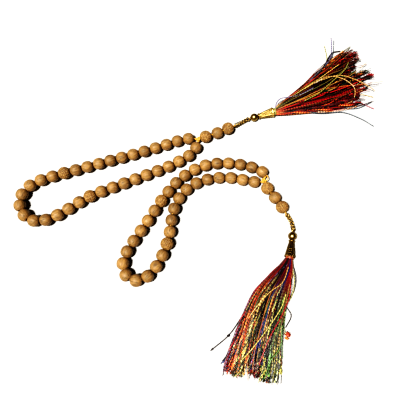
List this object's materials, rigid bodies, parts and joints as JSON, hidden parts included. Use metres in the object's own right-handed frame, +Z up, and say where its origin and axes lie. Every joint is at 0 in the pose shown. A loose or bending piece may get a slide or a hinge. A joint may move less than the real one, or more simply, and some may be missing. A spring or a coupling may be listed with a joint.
{
  "type": "prayer bead strands",
  "caption": "Two strands of wooden prayer beads lying in open loops, each with a carved-bead tail, a small metal chain and ball, a cone cap and a multicoloured thread tassel.",
  "frame": {"origin": "on the table surface, under the middle of the whole layout", "axes": "+X to the right of the layout, +Y to its far side, +Z up from the table"},
  "size_m": [0.251, 0.2279, 0.0084],
  "materials": {
    "plain_wood": "satin",
    "carved_wood": "matte",
    "gold_thread": "satin",
    "gold_metal": "polished",
    "tassel_thread": "satin"
  },
  "bodies": {
    "strand_a": {"loop_cord_a": "gold_thread", "knot_a": "gold_thread"},
    "strand_b": {"loop_cord_b": "gold_thread", "knot_b": "gold_thread", "bead_run_b_1": "plain_wood", "bead_run_b_2": "plain_wood", "bead_run_b_3": "plain_wood"},
    "tail_a": {"tail_cord_a": "gold_thread"},
    "chain_a": {"chain_a": "gold_metal"},
    "cap_a": {"cap_a": "gold_metal"},
    "ball_a": {"ball_a": "gold_metal"},
    "tassel_a": {"tassel_a": "tassel_thread"},
    "tail_b": {"tail_cord_b": "gold_thread"},
    "chain_b": {"chain_b": "gold_metal"},
    "cap_b": {"cap_b": "gold_metal"},
    "ball_b": {"ball_b": "gold_metal"},
    "tassel_b": {"tassel_b": "tassel_thread"},
    "bead_a_01": {"bead_a_01": "plain_wood"},
    "bead_a_02": {"bead_a_02": "plain_wood"},
    "bead_a_03": {"bead_a_03": "plain_wood"},
    "bead_a_04": {"bead_a_04": "plain_wood"},
    "bead_a_05": {"bead_a_05": "plain_wood"},
    "bead_a_06": {"bead_a_06": "plain_wood"},
    "bead_a_07": {"bead_a_07": "plain_wood"},
    "bead_a_08": {"bead_a_08": "plain_wood"},
    "bead_a_09": {"bead_a_09": "plain_wood"},
    "bead_a_10": {"bead_a_10": "plain_wood"},
    "separator_a_11": {"separator_a_11": "carved_wood"},
    "bead_a_12": {"bead_a_12": "plain_wood"},
    "bead_a_13": {"bead_a_13": "plain_wood"},
    "bead_a_14": {"bead_a_14": "plain_wood"},
    "bead_a_15": {"bead_a_15": "plain_wood"},
    "bead_a_16": {"bead_a_16": "plain_wood"},
    "bead_a_17": {"bead_a_17": "plain_wood"},
    "bead_a_18": {"bead_a_18": "plain_wood"},
    "bead_a_19": {"bead_a_19": "plain_wood"},
    "bead_a_20": {"bead_a_20": "plain_wood"},
    "bead_a_21": {"bead_a_21": "plain_wood"},
    "bead_a_22": {"bead_a_22": "plain_wood"},
    "separator_a_23": {"separator_a_23": "carved_wood"},
    "bead_a_24": {"bead_a_24": "plain_wood"},
    "bead_a_25": {"bead_a_25": "plain_wood"},
    "bead_a_26": {"bead_a_26": "plain_wood"},
    "bead_a_27": {"bead_a_27": "plain_wood"},
    "bead_a_28": {"bead_a_28": "plain_wood"},
    "bead_a_29": {"bead_a_29": "plain_wood"},
    "bead_a_30": {"bead_a_30": "plain_wood"},
    "bead_a_31": {"bead_a_31": "plain_wood"},
    "bead_a_32": {"bead_a_32": "plain_wood"},
    "bead_a_33": {"bead_a_33": "plain_wood"},
    "bead_a_34": {"bead_a_34": "plain_wood"},
    "tail_bead_a_1": {"tail_bead_a_1": "carved_wood"},
    "tail_bead_a_2": {"tail_bead_a_2": "plain_wood"},
    "tail_bead_a_3": {"tail_bead_a_3": "carved_wood"},
    "separator_b_11": {"separator_b_11": "carved_wood"},
    "separator_b_23": {"separator_b_23": "carved_wood"},
    "tail_bead_b_1": {"tail_bead_b_1": "carved_wood"},
    "tail_bead_b_2": {"tail_bead_b_2": "plain_wood"},
    "tail_bead_b_3": {"tail_bead_b_3": "carved_wood"}
  },
  "joints": [
    {"name": "lift_strand_b", "type": "slide", "parent": "strand_a", "child": "strand_b", "axis": [0, 0, 1], "range_m": [0, 0.06]},
    {"name": "tail_swing_a", "type": "hinge", "parent": "strand_a", "child": "tail_a", "pos_m": [-0.0045, 0.0405, 0.004], "axis": [0, 0, 1], "range_deg": [-10, 10]},
    {"name": "chain_swing_a", "type": "hinge", "parent": "tail_a", "child": "chain_a", "pos_m": [0.0222, 0.052, 0.0034], "axis": [0, 0, 1], "range_deg": [-15, 15]},
    {"name": "cap_swing_a", "type": "hinge", "parent": "chain_a", "child": "cap_a", "pos_m": [0.0311, 0.05725, 0.0026], "axis": [0, 0, 1], "range_deg": [-20, 20]},
    {"name": "tassel_sway_a", "type": "hinge", "parent": "cap_a", "child": "tassel_a", "pos_m": [0.0491, 0.0624, 0.0035], "axis": [0, 0, 1], "range_deg": [-8, 8]},
    {"name": "tail_swing_b", "type": "hinge", "parent": "strand_b", "child": "tail_b", "pos_m": [0.0395, 0.0095, 0.004], "axis": [0, 0, 1], "range_deg": [-4, 10]},
    {"name": "chain_swing_b", "type": "hinge", "parent": "tail_b", "child": "chain_b", "pos_m": [0.0539, -0.0143, 0.0034], "axis": [0, 0, 1], "range_deg": [-8, 15]},
    {"name": "cap_swing_b", "type": "hinge", "parent": "chain_b", "child": "cap_b", "pos_m": [0.05735, -0.0237, 0.0026], "axis": [0, 0, 1], "range_deg": [-10, 20]},
    {"name": "tassel_sway_b", "type": "hinge", "parent": "cap_b", "child": "tassel_b", "pos_m": [0.0536, -0.0418, 0.0035], "axis": [0, 0, 1], "range_deg": [-8, 8]},
    {"name": "turn_ball_a", "type": "hinge", "parent": "cap_a", "child": "ball_a", "pos_m": [0.03549, 0.05851, 0.00282], "axis": [0.9603, 0.2748, 0.048], "continuous": true},
    {"name": "turn_ball_b", "type": "hinge", "parent": "cap_b", "child": "ball_b", "pos_m": [0.05642, -0.02817, 0.00282], "axis": [-0.2026, -0.978, 0.0486], "continuous": true},
    {"name": "turn_bead_a_01", "type": "hinge", "parent": "strand_a", "child": "bead_a_01", "pos_m": [-0.00583, 0.03405, 0.00395], "axis": [-0.4002, -0.9164, 0], "continuous": true},
    {"name": "turn_bead_a_02", "type": "hinge", "parent": "strand_a", "child": "bead_a_02", "pos_m": [-0.01071, 0.02801, 0.00395], "axis": [-0.7858, -0.6185, 0], "continuous": true},
    {"name": "turn_bead_a_03", "type": "hinge", "parent": "strand_a", "child": "bead_a_03", "pos_m": [-0.01741, 0.02378, 0.00395], "axis": [-0.8722, -0.4891, 0], "continuous": true},
    {"name": "turn_bead_a_04", "type": "hinge", "parent": "strand_a", "child": "bead_a_04", "pos_m": [-0.02442, 0.02005, 0.00395], "axis": [-0.9023, -0.4311, 0], "continuous": true},
    {"name": "turn_bead_a_05", "type": "hinge", "parent": "strand_a", "child": "bead_a_05", "pos_m": [-0.03171, 0.01688, 0.00395], "axis": [-0.9253, -0.3791, 0], "continuous": true},
    {"name": "turn_bead_a_06", "type": "hinge", "parent": "strand_a", "child": "bead_a_06", "pos_m": [-0.03908, 0.01387, 0.00395], "axis": [-0.925, -0.38, 0], "continuous": true},
    {"name": "turn_bead_a_07", "type": "hinge", "parent": "strand_a", "child": "bead_a_07", "pos_m": [-0.04642, 0.01083, 0.00395], "axis": [-0.9232, -0.3843, 0], "continuous": true},
    {"name": "turn_bead_a_08", "type": "hinge", "parent": "strand_a", "child": "bead_a_08", "pos_m": [-0.05377, 0.0078, 0.00395], "axis": [-0.9272, -0.3746, 0], "continuous": true},
    {"name": "turn_bead_a_09", "type": "hinge", "parent": "strand_a", "child": "bead_a_09", "pos_m": [-0.06117, 0.00489, 0.00395], "axis": [-0.9326, -0.3608, 0], "continuous": true},
    {"name": "turn_bead_a_10", "type": "hinge", "parent": "strand_a", "child": "bead_a_10", "pos_m": [-0.06857, 0.00195, 0.00395], "axis": [-0.923, -0.3847, 0], "continuous": true},
    {"name": "turn_separator_a_11", "type": "hinge", "parent": "strand_a", "child": "separator_a_11", "pos_m": [-0.07575, -0.00142, 0.0041], "axis": [-0.8809, -0.4732, 0], "continuous": true},
    {"name": "turn_bead_a_12", "type": "hinge", "parent": "strand_a", "child": "bead_a_12", "pos_m": [-0.08254, -0.00553, 0.00395], "axis": [-0.8316, -0.5553, 0], "continuous": true},
    {"name": "turn_bead_a_13", "type": "hinge", "parent": "strand_a", "child": "bead_a_13", "pos_m": [-0.08906, -0.01007, 0.00395], "axis": [-0.8224, -0.5689, 0], "continuous": true},
    {"name": "turn_bead_a_14", "type": "hinge", "parent": "strand_a", "child": "bead_a_14", "pos_m": [-0.09577, -0.01434, 0.00395], "axis": [-0.8691, -0.4946, 0], "continuous": true},
    {"name": "turn_bead_a_15", "type": "hinge", "parent": "strand_a", "child": "bead_a_15", "pos_m": [-0.10297, -0.0176, 0.00395], "axis": [-0.9554, -0.2954, 0], "continuous": true},
    {"name": "turn_bead_a_16", "type": "hinge", "parent": "strand_a", "child": "bead_a_16", "pos_m": [-0.11072, -0.0182, 0.00395], "axis": [-0.9821, 0.1883, 0], "continuous": true},
    {"name": "turn_bead_a_17", "type": "hinge", "parent": "strand_a", "child": "bead_a_17", "pos_m": [-0.11749, -0.01456, 0.00395], "axis": [-0.7042, 0.71, 0], "continuous": true},
    {"name": "turn_bead_a_18", "type": "hinge", "parent": "strand_a", "child": "bead_a_18", "pos_m": [-0.12124, -0.00779, 0.00395], "axis": [-0.2336, 0.9723, 0], "continuous": true},
    {"name": "turn_bead_a_19", "type": "hinge", "parent": "strand_a", "child": "bead_a_19", "pos_m": [-0.12089, -0.00009, 0.00395], "axis": [0.3343, 0.9425, 0], "continuous": true},
    {"name": "turn_bead_a_20", "type": "hinge", "parent": "strand_a", "child": "bead_a_20", "pos_m": [-0.11641, 0.00624, 0.00395], "axis": [0.7658, 0.6431, 0], "continuous": true},
    {"name": "turn_bead_a_21", "type": "hinge", "parent": "strand_a", "child": "bead_a_21", "pos_m": [-0.10958, 0.01015, 0.00395], "axis": [0.9233, 0.3842, 0], "continuous": true},
    {"name": "turn_bead_a_22", "type": "hinge", "parent": "strand_a", "child": "bead_a_22", "pos_m": [-0.10211, 0.01282, 0.00395], "axis": [0.9518, 0.3067, 0], "continuous": true},
    {"name": "turn_separator_a_23", "type": "hinge", "parent": "strand_a", "child": "separator_a_23", "pos_m": [-0.09451, 0.01519, 0.0041], "axis": [0.9573, 0.2891, 0], "continuous": true},
    {"name": "turn_bead_a_24", "type": "hinge", "parent": "strand_a", "child": "bead_a_24", "pos_m": [-0.08689, 0.01748, 0.00395], "axis": [0.9573, 0.2891, 0], "continuous": true},
    {"name": "turn_bead_a_25", "type": "hinge", "parent": "strand_a", "child": "bead_a_25", "pos_m": [-0.07929, 0.01981, 0.00395], "axis": [0.9548, 0.2973, 0], "continuous": true},
    {"name": "turn_bead_a_26", "type": "hinge", "parent": "strand_a", "child": "bead_a_26", "pos_m": [-0.0717, 0.02217, 0.00395], "axis": [0.9558, 0.2939, 0], "continuous": true},
    {"name": "turn_bead_a_27", "type": "hinge", "parent": "strand_a", "child": "bead_a_27", "pos_m": [-0.06409, 0.02446, 0.00395], "axis": [0.9591, 0.283, 0], "continuous": true},
    {"name": "turn_bead_a_28", "type": "hinge", "parent": "strand_a", "child": "bead_a_28", "pos_m": [-0.05646, 0.02671, 0.00395], "axis": [0.9582, 0.286, 0], "continuous": true},
    {"name": "turn_bead_a_29", "type": "hinge", "parent": "strand_a", "child": "bead_a_29", "pos_m": [-0.04886, 0.02902, 0.00395], "axis": [0.9556, 0.2945, 0], "continuous": true},
    {"name": "turn_bead_a_30", "type": "hinge", "parent": "strand_a", "child": "bead_a_30", "pos_m": [-0.04127, 0.03141, 0.00395], "axis": [0.952, 0.3061, 0], "continuous": true},
    {"name": "turn_bead_a_31", "type": "hinge", "parent": "strand_a", "child": "bead_a_31", "pos_m": [-0.03373, 0.03391, 0.00395], "axis": [0.9462, 0.3236, 0], "continuous": true},
    {"name": "turn_bead_a_32", "type": "hinge", "parent": "strand_a", "child": "bead_a_32", "pos_m": [-0.0262, 0.03653, 0.00395], "axis": [0.9431, 0.3324, 0], "continuous": true},
    {"name": "turn_bead_a_33", "type": "hinge", "parent": "strand_a", "child": "bead_a_33", "pos_m": [-0.01874, 0.03922, 0.00395], "axis": [0.9438, 0.3306, 0], "continuous": true},
    {"name": "turn_bead_a_34", "type": "hinge", "parent": "strand_a", "child": "bead_a_34", "pos_m": [-0.01107, 0.04113, 0.00395], "axis": [0.9941, 0.1089, 0], "continuous": true},
    {"name": "turn_tail_bead_a_1", "type": "hinge", "parent": "tail_a", "child": "tail_bead_a_1", "pos_m": [0.00091, 0.04256, 0.0041], "axis": [0.9407, 0.3393, 0], "continuous": true},
    {"name": "turn_tail_bead_a_2", "type": "hinge", "parent": "tail_a", "child": "tail_bead_a_2", "pos_m": [0.0091, 0.0455, 0.00395], "axis": [0.9286, 0.3711, 0], "continuous": true},
    {"name": "turn_tail_bead_a_3", "type": "hinge", "parent": "tail_a", "child": "tail_bead_a_3", "pos_m": [0.01653, 0.04893, 0.0041], "axis": [0.8862, 0.4633, 0], "continuous": true},
    {"name": "turn_separator_b_11", "type": "hinge", "parent": "strand_b", "child": "separator_b_11", "pos_m": [-0.02851, -0.00468, 0.0041], "axis": [-0.5529, -0.8333, 0], "continuous": true},
    {"name": "turn_separator_b_23", "type": "hinge", "parent": "strand_b", "child": "separator_b_23", "pos_m": [-0.02397, -0.03349, 0.0041], "axis": [0.2953, 0.9554, 0], "continuous": true},
    {"name": "turn_tail_bead_b_1", "type": "hinge", "parent": "tail_b", "child": "tail_bead_b_1", "pos_m": [0.04183, 0.00419, 0.0041], "axis": [0.5136, -0.858, 0], "continuous": true},
    {"name": "turn_tail_bead_b_2", "type": "hinge", "parent": "tail_b", "child": "tail_bead_b_2", "pos_m": [0.04657, -0.00234, 0.00395], "axis": [0.5846, -0.8113, 0], "continuous": true},
    {"name": "turn_tail_bead_b_3", "type": "hinge", "parent": "tail_b", "child": "tail_bead_b_3", "pos_m": [0.05084, -0.00898, 0.0041], "axis": [0.5132, -0.8583, 0], "continuous": true}
  ]
}
